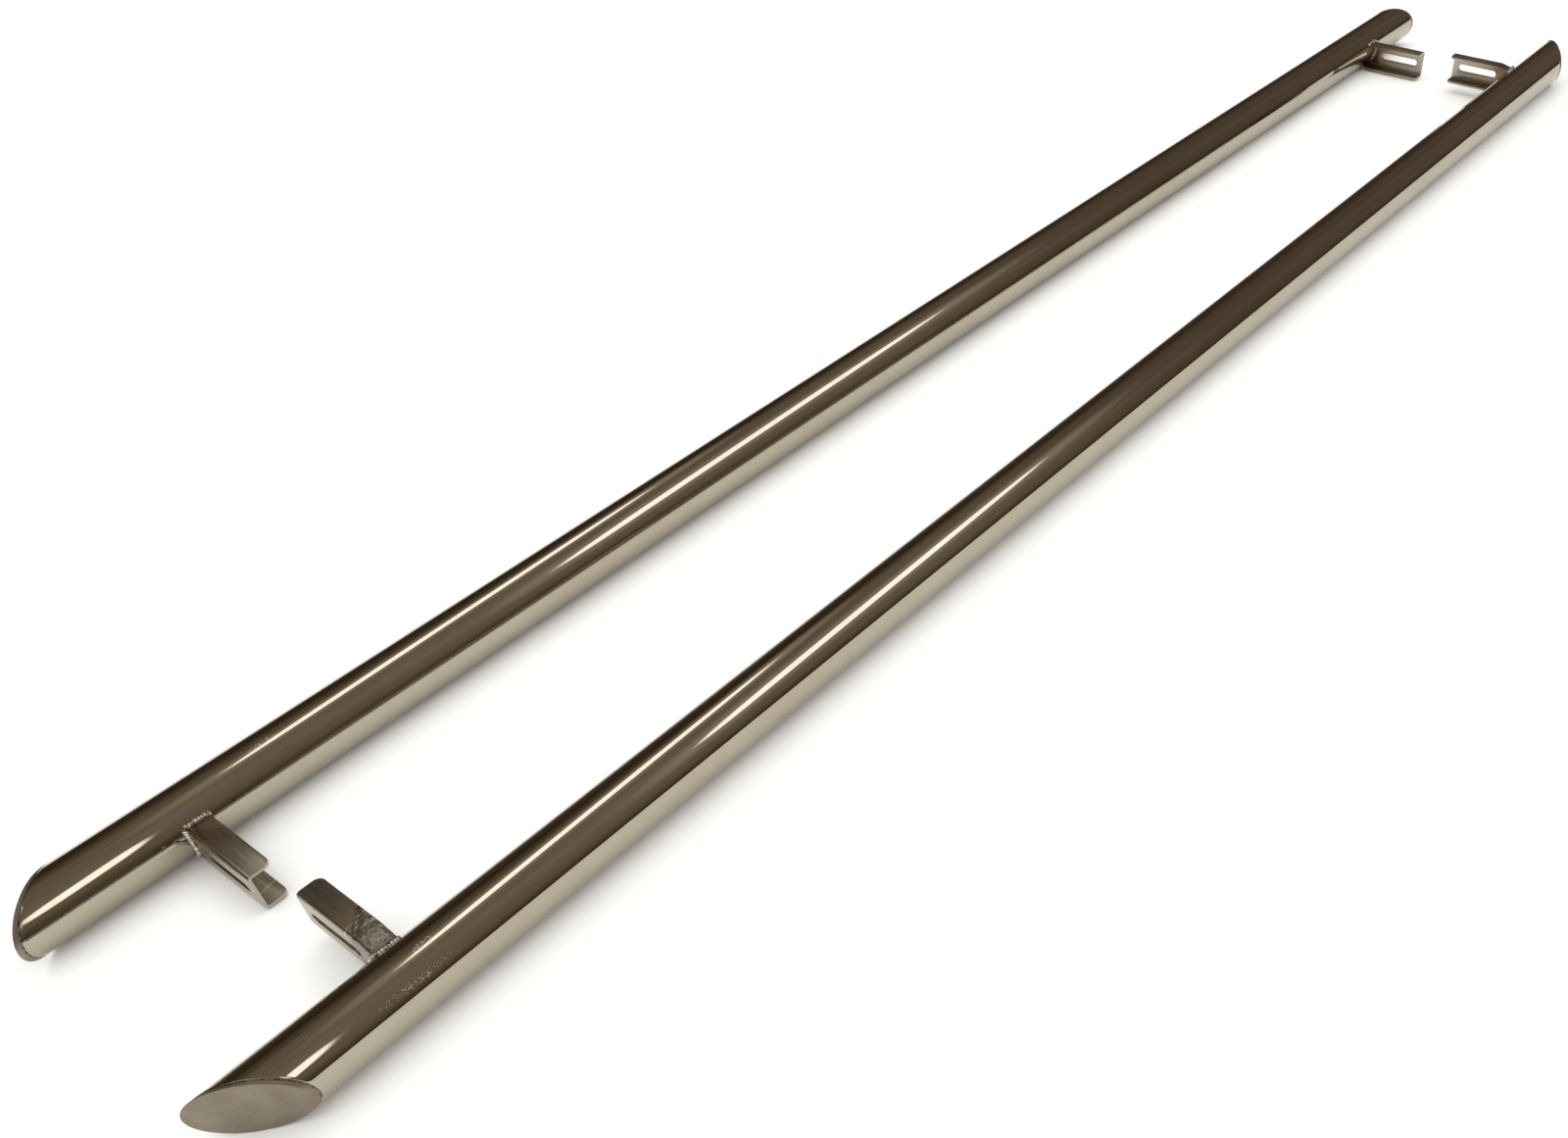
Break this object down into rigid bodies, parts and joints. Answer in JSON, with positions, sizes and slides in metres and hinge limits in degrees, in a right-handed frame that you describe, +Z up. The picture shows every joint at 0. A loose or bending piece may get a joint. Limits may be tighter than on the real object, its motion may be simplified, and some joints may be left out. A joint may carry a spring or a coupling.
{
  "type": "running board",
  "caption": "Matched straight tubular side bars in polished stainless steel, ends mitred and capped, with slotted channel brackets welded to the inner side.",
  "frame": {"origin": "on the ground, at the centre of the rectangle under the pair as laid out", "axes": "+Z up, +Y along both bars, +X from the left bar to the right bar"},
  "size_m": [0.362, 2.529, 0.06],
  "materials": {
    "polished_steel": "mirror polished stainless tube",
    "ground_plate": "dull, finely ground stainless plate",
    "ground_weld": "weld ground flush",
    "folded_sheet": "mill finish stainless sheet, lightly polished, with faint heat tint",
    "weld_bead": "bright rippled weld bead"
  },
  "bodies": {
    "right_bar": {"right_front_bracket": "folded_sheet", "right_front_cap": "ground_plate", "right_front_cap_seam": "ground_weld", "right_front_weld_sloped": "weld_bead", "right_front_weld_straight": "weld_bead", "right_front_weld_web": "weld_bead", "right_rear_bracket": "folded_sheet", "right_rear_cap": "ground_plate", "right_rear_cap_seam": "ground_weld", "right_rear_weld_sloped": "weld_bead", "right_rear_weld_straight": "weld_bead", "right_rear_weld_web": "weld_bead", "right_tube": "polished_steel"},
    "left_bar": {"left_front_bracket": "folded_sheet", "left_front_cap": "ground_plate", "left_front_cap_seam": "ground_weld", "left_front_weld_sloped": "weld_bead", "left_front_weld_straight": "weld_bead", "left_front_weld_web": "weld_bead", "left_rear_bracket": "folded_sheet", "left_rear_cap": "ground_plate", "left_rear_cap_seam": "ground_weld", "left_rear_weld_sloped": "weld_bead", "left_rear_weld_straight": "weld_bead", "left_rear_weld_web": "weld_bead", "left_tube": "polished_steel"}
  },
  "joints": [
    {"name": "bar_spacing", "type": "slide", "parent": "right_bar", "child": "left_bar", "axis": [-1, 0, 0], "range_m": [0, 1.8]}
  ]
}
